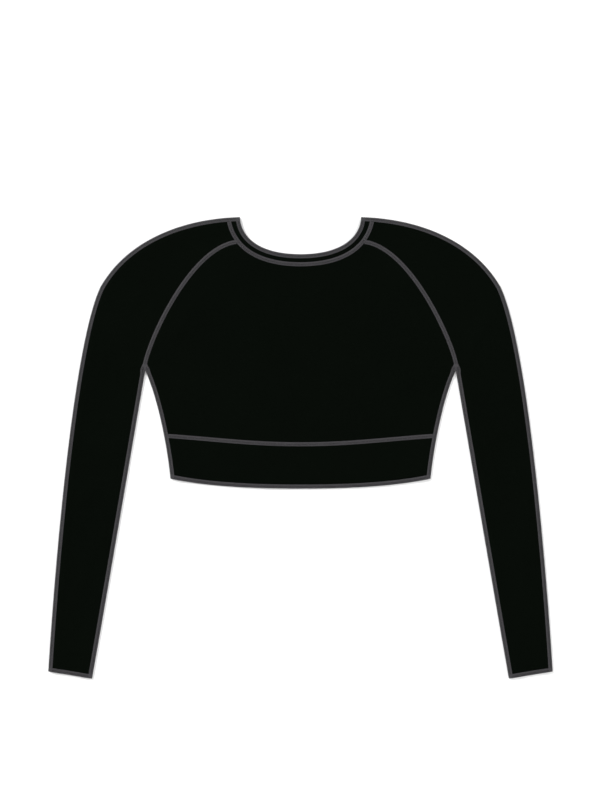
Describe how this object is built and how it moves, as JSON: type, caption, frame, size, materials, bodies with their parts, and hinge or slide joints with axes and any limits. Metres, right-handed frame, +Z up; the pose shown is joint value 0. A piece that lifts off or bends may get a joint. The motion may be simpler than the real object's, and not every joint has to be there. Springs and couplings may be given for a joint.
{
  "type": "crop top",
  "caption": "Cropped stretch top laid flat, front up, with long raglan sleeves, a wide scooped neck with a narrow neckband, and a waistband along the hem.",
  "frame": {"origin": "middle of the outline, on the surface that the top lies on", "axes": "+X to the viewer's right across the sleeves, +Y towards the neck, +Z up out of the front"},
  "size_m": [0.706, 0.646, 0.0054],
  "materials": {
    "jersey": "matt black stretch jersey with a faint sheen",
    "thread": "dull grey textured sewing thread"
  },
  "bodies": {
    "root": {"front_body": "jersey", "back_body": "jersey", "front_sleeve_right": "jersey", "back_sleeve_right": "jersey", "front_sleeve_left": "jersey", "back_sleeve_left": "jersey", "neckband_front": "jersey", "neckband_back": "jersey", "hem_band_front": "jersey", "hem_band_back": "jersey"}
  },
  "joints": []
}
